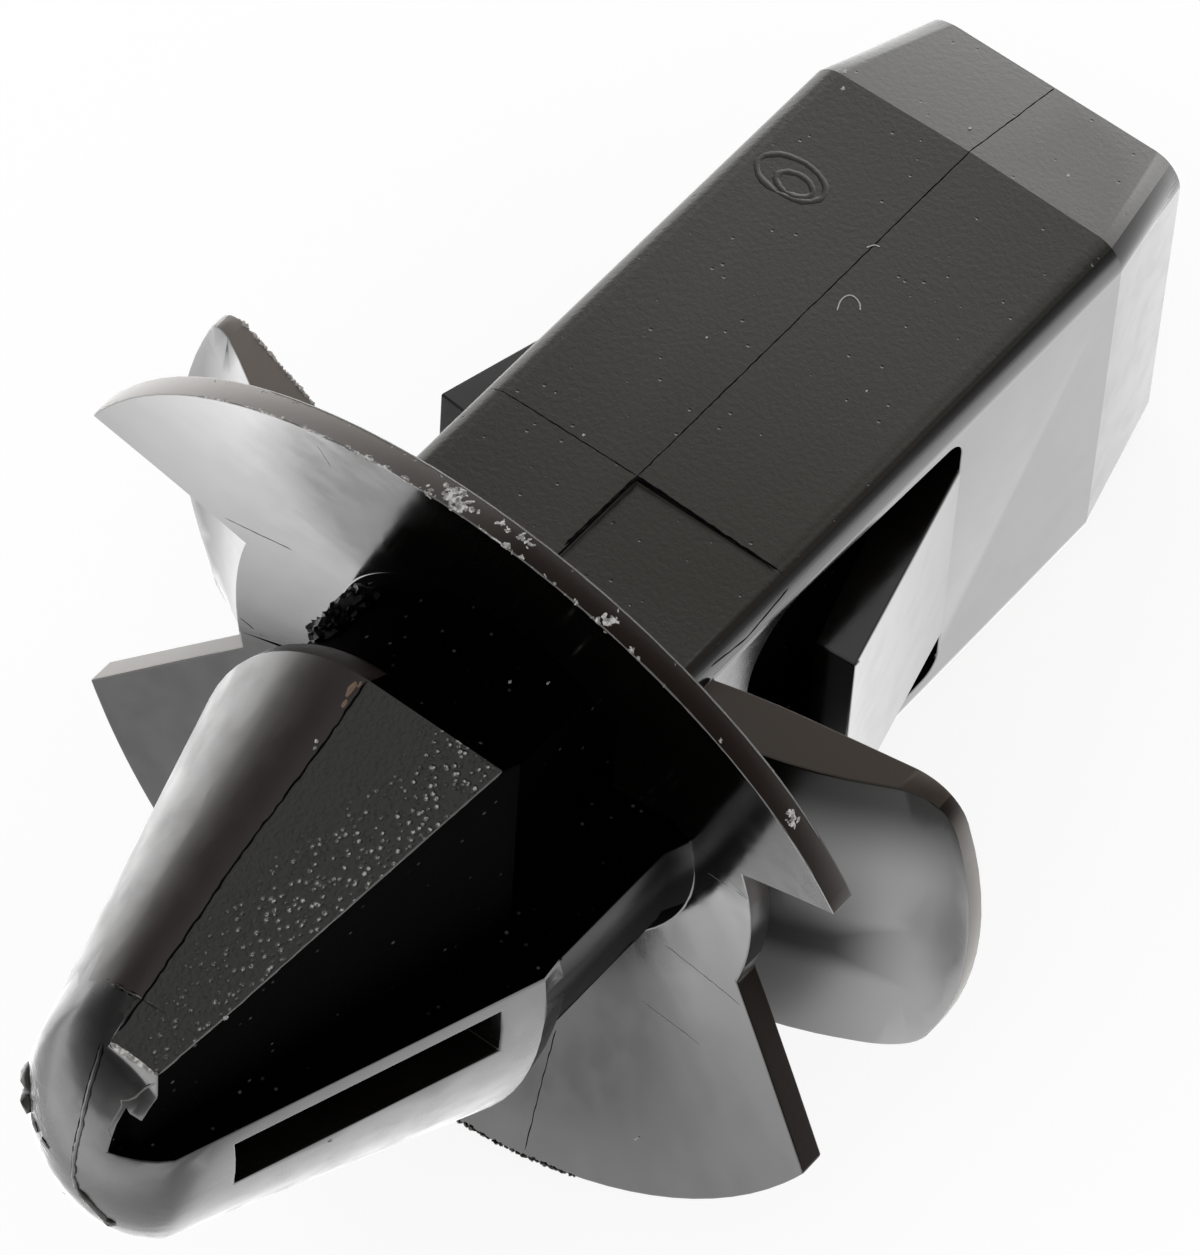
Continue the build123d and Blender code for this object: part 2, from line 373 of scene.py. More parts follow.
def edgeNylon():
    # Trimmed edges of the petals: dull, slightly brown, scuffed paler on the left, with a painted highlight
    # on the rear petal's outer rim
    material, tree, spot = newNylon("black nylon, dull cut edge")
    split = addNode(tree, "SeparateXYZ", spot)
    left, right = cutEdge["across"]
    share = addNode(tree, "Math", split.outputs["Y"], left, operation="SUBTRACT")
    share = addNode(tree, "Math", share, right - left, operation="DIVIDE")
    shades = addNode(tree, "ValToRGB", share)
    fillRamp(shades, [(position, linear(colour)) for position, colour in cutEdge["shades"]])
    height = addNode(tree, "TexNoise", spot, Scale=cutEdge["grainScale"], Detail=3)
    return finishMaterial(material, cutEdge, height, shades)


recess = {
    # Painted shade: darker than the polished skin
    "colour": "#010101",
    "dust": "#5a5a57",
    "roughness": 0.8,
    "ior": 1.45,
    "level": 0.02,
    "grainScale": 6.0,
    "depth": 0.01,
    "dustScale": 4.5,
    "speck": (0.22, 0.08),
    "dusty": (0.80, 1.0),  # only cells of the pattern above this carry dust
    "flankRough": (-0.1, 0.55, 0.85, 0.33),  # up the stem's flank
    "flankLevel": 0.15,
}


def recessNylon():
    # Painted shade for deep surfaces: notch walls, pockets and the neck get a darker black with almost no
    # sheen, as if no light reached them
    material, tree, spot = newNylon("black nylon, recess in painted shade")
    height = addNode(tree, "TexNoise", spot, Scale=recess["grainScale"], Detail=3)
    distance, pick = scattered(tree, spot, recess["dustScale"])
    dusty = addNode(tree, "MapRange", pick, *recess["dusty"])
    specks = addNode(tree, "MapRange", distance, *recess["speck"])
    specks = addNode(tree, "Math", specks, dusty, operation="MULTIPLY")
    dust = addNode(tree, "Mix", specks, linear(recess["colour"]), linear(recess["dust"]))
    return finishMaterial(material, recess, height, dust)


def stemFlankNylon():
    # The stem's right flank in the recesses' painted shade colour, black below and faintly shiny along its
    # upper edge
    material, tree, spot = newNylon("black nylon, stem flank in painted shade")
    split = addNode(tree, "SeparateXYZ", spot)
    rough = addNode(tree, "MapRange", split.outputs["Z"], *recess["flankRough"])
    return finishMaterial(material, recess, roughness=rough, ior=polished["ior"], level=recess["flankLevel"])


scuffAndGlint = {
    "colour": "#d0cec9",
    "grey": "#8f8d8a",
    "white": "#e6e4e0",
    "roughness": 0.6,
    "ior": 1.5,
    "level": 0.5,
    "patchScale": 12.0,
    "patches": (0.4, 0.65),
    "grainScale": 20.0,
    "depth": 0.02,
}


def scuffedNylon():
    # Nylon that turned white where it was knocked or torn, also used for the stem flash's painted glints
    material, tree, spot = newNylon("white-stressed nylon scuff and painted glints")
    patches = addNode(tree, "TexNoise", spot, Scale=scuffAndGlint["patchScale"], Detail=2)
    patches = addNode(tree, "MapRange", patches, *scuffAndGlint["patches"])
    shade = addNode(tree, "Mix", patches, linear(scuffAndGlint["grey"]), linear(scuffAndGlint["white"]))
    height = addNode(tree, "TexNoise", spot, Scale=scuffAndGlint["grainScale"], Detail=2)
    return finishMaterial(material, scuffAndGlint, height, shade)


plain = {
    "ior": 1.5,
    "scale": 8.0,
    "spread": 0.2,  # of the roughness, up and down
}


def plainNylon(name, colour, rough, level):
    # Used on hair-thin details, whose colour is all that reads
    material, tree, spot = newNylon(name)
    patches = addNode(tree, "TexNoise", spot, Scale=plain["scale"], Detail=2)
    low, high = rough * (1 - plain["spread"]), rough * (1 + plain["spread"])
    varied = addNode(tree, "MapRange", patches, *noiseSpan, low, high)
    return finishMaterial(material, plain, colour=colour, roughness=varied, level=level)


materials = {
    "polished": polishedNylon("black nylon, polished skin", polished["skin"]),
    "satin": polishedNylon("black nylon, satin flank", polished["satin"]),
    "leadIn": polishedNylon("black nylon, duller lead-in", polished["skin"], level=polished["leadInLevel"]),
    # The left flank carries painted warm light
    "flank": polishedNylon("black nylon, satin flank with painted warm light", polished["flank"], colour=polished["paintedFlankLight"]),
    "stemFlank": stemFlankNylon(),
    "petalTop": plainNylon("black nylon, brown cut top", "#40372f", 0.4, 0.3),
    "petalEdge": plainNylon("black nylon, grey cut edge", "#7f7771", 0.45, 0.3),
    "rearPetal": rearPetalNylon(),
    "eroded": erodedNylon(),
    "sparkle": sparkleNylon(),
    "edge": edgeNylon(),
    "recess": recessNylon(),
    "scuffAndGlint": scuffedNylon(),
    "torn": plainNylon("black nylon, torn flash", "#0a0908", 0.45, 0.3),
    "greyTorn": plainNylon("grey nylon, torn gate", "#3a3836", 0.4, 0.5),
    "groove": plainNylon("black nylon, parting groove", "#020202", 0.8, 0.1),
    "burrAndHighlight": plainNylon("grey nylon, thin burr and painted edge highlight", "#6f6e6c", 0.45, 0.5),
    "fibre": plainNylon("pale lint fibre", "#c9c7c2", 0.6, 0.5),
    "flake": plainNylon("tan nylon flake", "#7a6450", 0.5, 0.5),
}
print("materials made")


# The moulding itself
moulding = {
    "merge": 0.000002,
    "flatWithin": 1.0,  # degrees
    "edgeRound": 0.045,  # mm
    "shoulderRound": 0.30,
    "shoulderSteps": 5,
    "shoulderEnd": 0.9,  # the shoulder is also rounded this near to the middle height
    "sharpOver": 36.0,
    "smoothUnder": 38.0,
    "ledge": 25.92,
    "ledgeNear": 0.02,
    "ledgeRise": 0.05,
    "spike": 0.025,  # farthest that the rounding may leave the moulding
    "near": 0.01,
    "coneNear": 0.03,  # distance from the umbrella's cone within which a corner lies on it
    "coneTurned": 0.99,
    "coneFrom": 0.1,  # rise over the umbrella's middle from which it counts
}

# Where one finish ends and the next begins, in mm. A direction is 1 straight along its axis.
zones = {
    "lying": 0.8,  # a face is a top from this direction on
    "plugHalves": (3.56, 4.45),
    "plugEnd": shape["umbrellaX"] - 0.35,
    "topFrom": (4.0, 3.7),  # height of the plug's top, over the umbrella's root and before it
    "topEnd": shape["umbrellaX"] + 1.7,
    # Painted shade: the left edge's rounding takes the spark-eroded finish, whose sheen is turned down there
    "paintedShadeEdge": (shape["pocket"][1] - 1.1, -2.95, 3.4),
    "flankAlong": (15.9, shape["noseX"] - 0.6),
    "flank": (3.4, 0.93, 0.5),  # how far out, half height, direction
    "petalsEnd": 16,
    "petalsFrom": 4,
    "topHeight": (3.5, 4.2),
    "edgeHeight": 2.5,
    "edgeReach": 9.2,
    "pocketAlong": (shape["pocket"][0] + 0.05, shape["pocket"][1] + 0.1),
    "pocketHalves": (3.4, 3.75),
    "pocketFloor": (0.5, 0.05),  # direction, and how far above the floor
    "pocketEnd": 0.3,
    "leadIn": shape["leadIn"] - 0.05,
    "noseStart": shape["noseX"] - 0.6,
    "flat": 0.03,  # how near to the flat's own height a face is part of it
    "web": 0.05,
    "round": 1,  # height under which the nose is round on both sides
    "floor": (shape["floor"] - 0.02, 0.98),  # height, direction
    "wall": 0.9,
    "ball": 0.05,
    "openingEnd": (27.6, 0.97),
    "neck": (4.3, shape["umbrellaX"] + 1.2),
    "rim": (5.5, 0.5),  # how far out, direction
    "rearPetal": (4.6, 0.75, 0.5),  # how far out, how far behind the cone, direction
}


def plugZone(x, y, z, normal):
    halfWidth, halfHeight = zones["pocketHalves"]
    start, end = zones["pocketAlong"]
    turned, above = zones["pocketFloor"]
    if abs(normal.z) > zones["lying"] and abs(z) > zones["topFrom"][1]:
        return "eroded"
    inPocket = start < x < end and abs(y) < halfWidth and abs(z) < halfHeight
    onFloor = abs(normal.z) > turned or abs(y) < shape["pocketFloor"] + above
    if inPocket and (onFloor or abs(normal.x) > zones["pocketEnd"]):
        return "recess"
    return "leadIn" if x < zones["leadIn"] else "polished"


def noseZone(x, y, z, normal):
    facing = abs(normal.z)
    top = shape["noseHalfHeight"] - shape["flatSlope"] * (x - shape["noseX"])
    onWeb = y * z > 0 or abs(y) < zones["web"]
    if onWeb and abs(abs(z) - top) < zones["flat"] and facing > zones["lying"] and x > shape["noseX"]:
        return "sparkle"
    floor, floorFacing = zones["floor"]
    if onWeb and abs(z) > floor:
        onWall = normal.y * y > zones["wall"] * abs(y)
        if onWall or facing > floorFacing or x < shape["noseX"]:
            return "recess"
        middle, *halves = shape["tipBall"]
        ball = ((x - middle) / halves[0]) ** 2 + (y / halves[1]) ** 2 + (z / halves[2]) ** 2
        end, endFacing = zones["openingEnd"]
        if abs(ball - 1) >= zones["ball"] and x < end and abs(normal.x) < endFacing:
            return "recess"
    if y * z < 0 or abs(z) < zones["round"]:
        return "flank" if y < -zones["web"] and x < shape["ballX"] else "satin"
    return "polished"


def zone(centre, normal):
    # Which finish a face of the moulding has, from its middle and its outward direction
    x, y, z = centre
    outwards = math.hypot(y, z)
    lying = abs(normal.z) > zones["lying"]
    halfWidth, halfHeight = zones["plugHalves"]
    if lying and zones["topFrom"][0] < abs(z) < halfHeight and abs(y) < halfWidth and x < zones["topEnd"]:
        return "eroded"
    shadeEdgeX, shadeEdgeY, shadeEdgeZ = zones["paintedShadeEdge"]
    if x < shadeEdgeX and y < shadeEdgeY and z > shadeEdgeZ:
        return "eroded"
    start, end = zones["flankAlong"]
    reach, halfFlank, turned = zones["flank"]
    if start < x < end and y > reach and abs(z) < halfFlank and normal.y > turned:
        return "stemFlank"
    if lying and x < zones["petalsEnd"]:
        low, high = zones["topHeight"]
        if y > zones["petalsFrom"] and low < z < high:
            return "petalTop"
        if y < -zones["petalsFrom"] and z > zones["edgeHeight"] and outwards < zones["edgeReach"]:
            return "petalEdge"
    if x < zones["plugEnd"] and abs(y) < halfWidth and abs(z) < halfHeight:
        return plugZone(x, y, z, normal)
    if x > zones["noseStart"]:
        return noseZone(x, y, z, normal)
    reach, start = zones["neck"]
    if outwards < reach and x > start:
        return "recess"
    reach, turned = zones["rim"]
    if outwards > reach and abs(normal.x) < turned:
        return "edge"
    reach, behind, turned = zones["rearPetal"]
    cone = shape["umbrellaX"] + shape["slopes"][0] * y
    if y > 0 and outwards > reach and x < cone - behind and normal.x > turned:
        return "rearPetal"
    return "polished"


def smoothUmbrella(mesh):
    # Gives the umbrella's front the true directions of its oval cone, so that reflections run smoothly
    normals = [corner.vector.copy() for corner in mesh.corner_normals]
    slopeY, slopeZ = shape["slopes"]
    for face in mesh.polygons:
        corners = [measured(mesh.vertices[i].co) for i in face.vertices]
        rises = [math.hypot(slopeY * c.y, slopeZ * c.z) for c in corners]
        offs = [abs(c.x - shape["umbrellaX"] - rise) for c, rise in zip(corners, rises)]
        if max(offs) > moulding["coneNear"] or min(rises) < moulding["coneFrom"]:
            continue
        for loop, c, rise in zip(face.loop_indices, corners, rises):
            exact = Vector((1, -slopeY ** 2 * c.y / rise, -slopeZ ** 2 * c.z / rise)).normalized()
            if exact.dot(turnBack @ face.normal) > moulding["coneTurned"]:
                normals[loop] = bodyTurn @ exact
    mesh.normals_split_custom_set(normals)


def surfaceOf(mesh):
    # Answers which place on a mesh is nearest
    places = [v.co.copy() for v in mesh.vertices]
    return BVHTree.FromPolygons(places, [tuple(p.vertices) for p in mesh.polygons])


def pickEdges(mesh, x, also=lambda middle: True):
    # Selects the edges that lie at one place along the moulding
    bpy.ops.object.mode_set(mode="OBJECT")
    for edge in mesh.edges:
        ends = [measured(mesh.vertices[i].co) for i in edge.vertices]
        edge.select = all(abs(e.x - x) < moulding["near"] for e in ends) and also((ends[0] + ends[1]) / 2)
    bpy.ops.object.mode_set(mode="EDIT")


def addMoulding():
    node = frame["nodes"]["retainer"]
    bpy.ops.object.select_all(action="DESELECT")
    body = node.copy()
    body.data = node.data.copy()
    body.parent = None
    body.name = "retainer_moulding"
    bpy.context.scene.collection.objects.link(body)
    bpy.context.view_layer.objects.active = body
    body.select_set(True)
    body.data.materials.clear()
    bpy.ops.mesh.customdata_custom_splitnormals_clear()
    bpy.ops.object.mode_set(mode="EDIT")
    bpy.ops.mesh.select_all(action="SELECT")
    bpy.ops.mesh.remove_doubles(threshold=moulding["merge"])
    bpy.ops.mesh.dissolve_limited(angle_limit=moulding["flatWithin"] * degree)
    bpy.ops.mesh.select_mode(type="VERT")
    bpy.ops.mesh.select_all(action="DESELECT")
    bpy.ops.object.mode_set(mode="OBJECT")
    mesh = body.data

    # The hair-high ledge where the cone meets the tip's ball is closed up
    for vertex in mesh.vertices:
        vertex.select = abs(measured(vertex.co).x - moulding["ledge"]) < moulding["ledgeNear"]
    bpy.ops.object.mode_set(mode="EDIT")
    bpy.ops.mesh.remove_doubles(threshold=moulding["ledgeRise"] * mm)
    bpy.ops.mesh.select_mode(type="EDGE")
    bpy.ops.mesh.select_all(action="DESELECT")

    # The lead-in keeps a crisp line round the plug
    pickEdges(mesh, shape["leadIn"])
    bpy.ops.mesh.mark_sharp()
    bpy.ops.mesh.select_all(action="DESELECT")

    # The nose's widest edge rolls over softly on its round sides
    pickEdges(mesh, shape["noseX"], lambda m: m.y * m.z < 0 or abs(m.z) < moulding["shoulderEnd"])
    bpy.ops.mesh.bevel(
        offset=moulding["shoulderRound"] * mm,
        segments=moulding["shoulderSteps"],
        affect="EDGES",
        clamp_overlap=True,
    )
    bpy.ops.mesh.select_all(action="DESELECT")
    bpy.ops.object.mode_set(mode="OBJECT")

    names = list(materials)
    for name in names:
        mesh.materials.append(materials[name])
    for face in mesh.polygons:
        face.material_index = names.index(zone(measured(face.center), turnBack @ face.normal))

    sharp = surfaceOf(mesh)
    rounding = body.modifiers.new("rounded edges", "BEVEL")
    rounding.width = moulding["edgeRound"] * mm
    rounding.segments = 2
    rounding.limit_method = "ANGLE"
    rounding.angle_limit = moulding["sharpOver"] * degree
    rounding.use_clamp_overlap = False
    rounding.miter_outer = "MITER_SHARP"
    bpy.ops.object.modifier_apply(modifier=rounding.name)

    # Spikes that the rounding leaves at narrow corners go back onto the moulding
    for vertex in body.data.vertices:
        spot, normal, index, distance = sharp.find_nearest(vertex.co)
        if distance > moulding["spike"] * mm:
            vertex.co = spot
    bpy.ops.object.shade_smooth_by_angle(angle=moulding["smoothUnder"] * degree)
    evening = body.modifiers.new("even normals", "WEIGHTED_NORMAL")
    evening.keep_sharp = True
    evening.weight = 100
    bpy.ops.object.modifier_apply(modifier=evening.name)
    smoothUmbrella(body.data)
    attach(body, "root")
    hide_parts("retainer")
    return body


surface = surfaceOf(addMoulding().data)
print("moulding made")


def settle(point):
    # Nearest place on the moulding and its outward direction
    spot, normal, index, distance = surface.find_nearest(place(point))
    return spot, normal


def keepInside(piece):
    # Details stay within the CAD model's own box
    low, high = cadBox
    for vertex in piece.data.vertices:
        vertex.co = [min(max(vertex.co[i], low[i]), high[i]) for i in range(3)]


def finishPiece(parts, name, material, smoothUnder=40):
    # Joins the parts to one piece and gives it its finish
    piece = parts[0]
    bpy.ops.object.select_all(action="DESELECT")
    for part in parts:
        part.select_set(True)
    bpy.context.view_layer.objects.active = piece
    if len(parts) > 1:
        bpy.ops.object.join()
    piece.name = name
    piece.data.materials.clear()
    piece.data.materials.append(materials[material])
    keepInside(piece)
    bpy.ops.object.mode_set(mode="EDIT")
    bpy.ops.mesh.select_all(action="SELECT")
    bpy.ops.mesh.normals_make_consistent(inside=False)
    bpy.ops.object.mode_set(mode="OBJECT")
    bpy.ops.object.shade_smooth_by_angle(angle=smoothUnder * degree)
    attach(piece, "root")


def curled(points):
    # Cuts a line's corners twice, a quarter in from each, so that it curls
    for times in range(2):
        cut = [Vector(points[0])]
        for start, end in zip(points, points[1:]):
            start, end = Vector(start), Vector(end)
            cut += [start.lerp(end, 0.25), start.lerp(end, 0.75)]
        points = cut + [Vector(points[-1])]
    return points


beadShape = {
    "spacing": 0.12,  # mm between its rings
    "thin": 0.35,  # share of the width at its ends
    "widths": (0.75, 1.2),  # and on the way
}


def bead(points, width, height=None, wobble=0.0, seed=1, lift=0.0):
    # A thin line of material that follows the surface through these places
    chance = random.Random(seed)
    path = []
    for start, end in zip(points, points[1:]):
        start, end = Vector(start), Vector(end)
        steps = max(1, int((end - start).length / beadShape["spacing"]))
        for i in range(steps):
            path.append(start.lerp(end, i / steps))
    path.append(Vector(points[-1]))
    curve = bpy.data.curves.new("bead", "CURVE")
    curve.dimensions = "3D"
    curve.bevel_depth = width / 2 * mm
    curve.bevel_resolution = 2
    curve.use_fill_caps = True
    line = curve.splines.new("POLY")
    line.points.add(len(path) - 1)
    normals = []
    for i, point in enumerate(path):
        jitter = Vector([chance.uniform(-wobble, wobble) for axis in range(3)])
        spot, normal = settle(point + jitter)
        spot = spot + normal * lift * mm
        normals.append((spot, normal))
        line.points[i].co = (*spot, 1)
        atEnd = i in (0, len(path) - 1)
        line.points[i].radius = beadShape["thin"] if atEnd else chance.uniform(*beadShape["widths"])
    piece = bpy.data.objects.new("bead", curve)
    bpy.context.scene.collection.objects.link(piece)
    bpy.ops.object.select_all(action="DESELECT")
    bpy.context.view_layer.objects.active = piece
    piece.select_set(True)
    bpy.ops.object.convert(target="MESH")
    piece = bpy.context.object
    if height:
        flat = height / (width / 2)
        for vertex in piece.data.vertices:
            spot, normal = min(normals, key=lambda pair: (pair[0] - vertex.co).length_squared)
            rise = (vertex.co - spot).dot(normal)
            vertex.co = vertex.co - normal * rise * (1 - flat)
    return piece


def beads(lines, seed, line):
    # One bead for each list of places
    return [bead(points, seed=seed + i, **line) for i, points in enumerate(lines)]


crumbRough = (0.65, 1.3)
crumbTurn = (0, 3)  # in radians, where it is by chance


def fleck(point, size, seed, stretch=(1.0, 0.7, 0.4), lift=0.0, turn=0.0, fineness=2):
    # A small rough crumb lying on the surface
    chance = random.Random(seed)
    bpy.ops.mesh.primitive_ico_sphere_add(subdivisions=fineness, radius=size / 2 * mm)
    piece = bpy.context.object
    for vertex in piece.data.vertices:
        vertex.co *= chance.uniform(*crumbRough)
    spot, normal = settle(point)
    side = alongBody.cross(normal)
    side = side.normalized() if side.length > 0.1 else acrossBody.copy()
    frontwards = side.cross(normal)
    frontwards, side = (
        frontwards * math.cos(turn) + side * math.sin(turn),
        side * math.cos(turn) - frontwards * math.sin(turn),
    )
    axes = Matrix((frontwards * stretch[0], side * stretch[1], normal * stretch[2])).transposed().to_4x4()
    piece.data.transform(Matrix.Translation(spot + normal * lift * mm) @ axes)
    return piece


def flecks(spots, seed, *settings):
    # One crumb for each place and size, and for its own stretch where one stands there
    return [fleck(spot, size, seed + i, *own, *settings) for i, (spot, size, *own) in enumerate(spots)]


def rimPoint(angle, back=0.0):
    # On the front edge of the umbrella's rim, angle in degrees from the right-hand side
    y = shape["rim"][0] * math.cos(angle * degree)
    z = shape["rim"][1] * math.sin(angle * degree)
    x = shape["umbrellaX"] + math.hypot(shape["slopes"][0] * y, shape["slopes"][1] * z)
    return (x - back, y, z)


def rimLine(start, end, back, steps):
    return [rimPoint(start + (end - start) * k / steps, back) for k in range(steps + 1)]


rimScuffs = {
    # White knocks along the umbrella's rim: angle, distance behind the front edge, size in mm
    "knocks": (
        (92.9, 0.06, 0.16), (92.0, 0.36, 0.12), (91.2, 0.26, 0.20), (90.2, 0.22, 0.28), (89.4, 0.14, 0.22),
        (88.4, 0.24, 0.18), (90.0, 0.42, 0.12), (96, 0.03, 0.10), (98.6, 0.04, 0.10), (101, 0.03, 0.12),
        (104, 0.04, 0.08), (107, 0.03, 0.08), (110, 0.03, 0.06), (113.5, 0.03, 0.06), (84.6, 0.34, 0.12),
        (83.6, 0.30, 0.08), (81.8, 0.35, 0.18), (80.9, 0.36, 0.12), (82.5, 0.03, 0.13), (80.5, 0.04, 0.10),
        (76, 0.03, 0.06), (73, 0.03, 0.07), (69.2, 0.15, 0.20), (68.8, 0.24, 0.12), (65.4, 0.05, 0.11),
        (64.2, 0.03, 0.08), (52, 0.10, 0.06), (40.2, 0.30, 0.20), (39.6, 0.22, 0.14),
    ),
    "crumbs": 12,
    "spread": 0.30,  # of the knock's size
    "crumbSize": (0.2, 0.5),
    "crumbStretch": (1.5, 0.8, 0.3),
    "lines": ((127, 121), (119.5, 113), (111, 106), (104, 97), (86, 82)),
    "lineBack": 0.01,
    "line": {"width": 0.035, "height": 0.02, "wobble": 0.015},
    "specks": 60,
    "speckFrom": (60, 98),  # in turns between 60 and 100 degrees, and between 98 and 128
    "speckOver": (40, 30),
    "speckBack": (0.0, 0.02, 0.05, 0.45),
    "speckSize": (0.025, 0.06),
    "speckStretch": (1.6, 0.5, 0.4),
    "corners": ((0.0, 128, 33), (0.5, 118, 36)),  # distance behind the front edge, first and last angle
    "corner": {"width": 0.03, "height": 0.008, "wobble": 0.004},
}


def knock(point, size, seed):
    # A ragged white mark: small crumbs scattered over the knocked spot
    chance = random.Random(seed)
    crumbs = []
    for i in range(rimScuffs["crumbs"]):
        near = [p + chance.gauss(0, size * rimScuffs["spread"]) for p in point]
        reach = chance.uniform(*rimScuffs["crumbSize"]) * size
        turn = chance.uniform(*crumbTurn)
        crumbs.append(fleck(near, reach, seed * 20 + i, rimScuffs["crumbStretch"], turn=turn))
    return crumbs


def addRimScuffs():
    parts = []
    for i, (angle, back, size) in enumerate(rimScuffs["knocks"]):
        parts += knock(rimPoint(angle, back), size, 100 + i)
    lines = [rimLine(start, end, rimScuffs["lineBack"], 7) for start, end in rimScuffs["lines"]]
    parts += beads(lines, 200, rimScuffs["line"])
    chance = random.Random(77)
    for i in range(rimScuffs["specks"]):
        angle = rimScuffs["speckFrom"][i % 2] + rimScuffs["speckOver"][i % 2] * chance.random()
        point = rimPoint(angle, chance.choice(rimScuffs["speckBack"]))
        size = chance.uniform(*rimScuffs["speckSize"])
        parts.append(fleck(point, size, 150 + i, rimScuffs["speckStretch"], turn=i))
    finishPiece(parts, "rim_scuffs", "scuffAndGlint")

    # Painted highlights: thin pale lines along the rim's two corners stand in for the light they catch
    lines = [rimLine(start, end, back, 40) for back, start, end in rimScuffs["corners"]]
    finishPiece(beads(lines, 240, rimScuffs["corner"]), "rim_corner_painted_highlights", "burrAndHighlight")


# Torn flash on the left of the stem, with pale crumbs as its painted glints
stemFlash = {
    "lumps": (
        ((16.55, -2.75, 2.65), 0.62, (0.8, 1.2, 0.8)),  # place, size, stretch
        ((16.85, -2.70, 2.65), 0.62, (0.8, 1.3, 0.8)),
        ((17.15, -2.75, 2.55), 0.60, (0.8, 1.2, 0.8)),
        ((17.45, -2.80, 2.45), 0.60, (0.9, 1.1, 0.8)),
    ),
    "lumpLift": 0.1,
    "paintedGlints": (
        ((16.50, -2.95, 2.50), 0.12), ((16.62, -2.85, 2.60), 0.09), ((16.75, -2.75, 2.70), 0.10),
        ((17.0, -2.85, 2.55), 0.07), ((17.25, -2.85, 2.45), 0.06),
    ),
    "glintStretch": (1, 0.8, 0.7),
    "glintLift": 0.28,
}


def addStemFlash():
    lumps = []
    for i, (spot, size, stretch) in enumerate(stemFlash["lumps"]):
        lumps.append(fleck(spot, size, 300 + i, stretch, stemFlash["lumpLift"], turn=i, fineness=3))
    finishPiece(lumps, "torn_stem_flash", "torn", 30)
    # Painted highlights: pale crumbs stand in for the flash's glints
    paintedGlints = flecks(stemFlash["paintedGlints"], 330, stemFlash["glintStretch"], stemFlash["glintLift"])
    finishPiece(paintedGlints, "stem_flash_painted_glints", "scuffAndGlint", 20)


# Parting ridge over the tip, its curled end, and the torn gate beside it
tip = {
    "ridge": (
        (26.75, -0.13, 2.67), (26.99, -0.06, 2.39), (27.29, -0.01, 1.87), (27.51, 0.04, 1.26),
        (27.62, 0.02, 0.74), (27.67, 0.0, -0.16), (27.64, 0.06, -0.6),
    ),
    "ridgeLine": {"width": 0.09, "height": 0.05, "wobble": 0.01, "seed": 401},
    "grooveBeside": 0.055,
    "grooveLine": {"width": 0.028, "height": 0.008, "wobble": 0.008, "seed": 402},
    "curl": ((27.64, 0.06, -0.55), (27.58, 0.28, -0.86), (27.50, 0.42, -1.15), (27.40, 0.53, -1.39)),
    "curlLine": {"width": 0.15, "height": 0.07, "wobble": 0.02, "seed": 403},
    "curlEnd": {"point": (27.38, 0.56, -1.42), "size": 0.26, "seed": 404, "stretch": (1, 1, 0.6)},
    "gate": (
        ((26.95, -1.62, 0.35), 0.50, (1.2, 1.0, 0.45)),
        ((27.08, -1.52, 0.05), 0.42, (1.1, 1.0, 0.6)),
        ((27.34, -1.12, -0.02), 0.30, (1.4, 0.8, 0.25)),
        ((27.52, -0.75, -0.05), 0.22, (1.2, 0.8, 0.25)),
    ),
}


def addTip():
    groove = [(x, y - tip["grooveBeside"], z) for x, y, z in tip["ridge"]]
    finishPiece([bead(tip["ridge"], **tip["ridgeLine"])], "tip_parting_ridge", "satin")
    finishPiece([bead(groove, **tip["grooveLine"])], "tip_parting_groove", "groove")
    curl = [bead(tip["curl"], **tip["curlLine"]), fleck(**tip["curlEnd"])]
    finishPiece(curl, "tip_flash_curl", "greyTorn", 60)
    finishPiece(flecks(tip["gate"], 410), "torn_gate", "greyTorn", 70)


# Thin burr along the top of the notch's wall, pale partly as a painted highlight of that edge, and the
# whitened step where the flat ends
noseEdges = {
    "burrAndHighlight": (
        (19.88, 2.93, 6.06), (21.92, 2.40, 5.12), (24.3, 1.75, 4.0), (25.4, 1.45, 3.48), (26.74, 1.10, 2.88),
    ),
    "burrLine": {"width": 0.035, "height": 0.012, "wobble": 0.006, "seed": 501},
    "tipBurr": (
        (26.76, 1.02, 2.6), (26.96, 0.76, 2.17), (27.04, 0.67, 2.09), (27.09, 0.58, 2.05),
        (27.14, 0.62, 1.97), (27.29, 0.57, 1.7), (27.40, 0.53, 1.42), (27.36, 0.62, 1.2),
    ),
    "tipBurrLine": {"width": 0.04, "height": 0.015, "wobble": 0.006, "seed": 502},
    "step": ((26.76, 0.02, 2.86), (26.77, 0.5, 2.86), (26.77, 1.0, 2.86)),
    "stepLine": {"width": 0.12, "height": 0.05, "wobble": 0.01, "seed": 503},
    "left": (
        (19.89, -0.05, 6.04), (20.9, -0.02, 5.58), (22.17, -0.03, 4.99), (23.16, -0.06, 4.53),
        (24.61, 0.0, 3.86), (25.68, 0.03, 3.37), (26.48, 0.03, 3.0), (26.72, -0.04, 2.72),
    ),
    "leftLine": {"width": 0.045, "height": 0.012, "wobble": 0.015, "seed": 504},
    "nibs": (
        ((25.40, 1.46, 3.45), 0.10), ((21.1, -0.15, 5.48), 0.09),
        ((21.2, -0.1, 5.44), 0.07), ((23.96, 2.68, -0.8), 0.09),
    ),
    "nibStretch": (1, 0.8, 0.5),
    "flakes": (((20.12, -0.20, 5.92), 0.22), ((20.36, -0.14, 5.82), 0.14), ((19.98, -0.12, 5.98), 0.10)),
    "flakeStretch": (1.3, 0.5, 0.15),
}


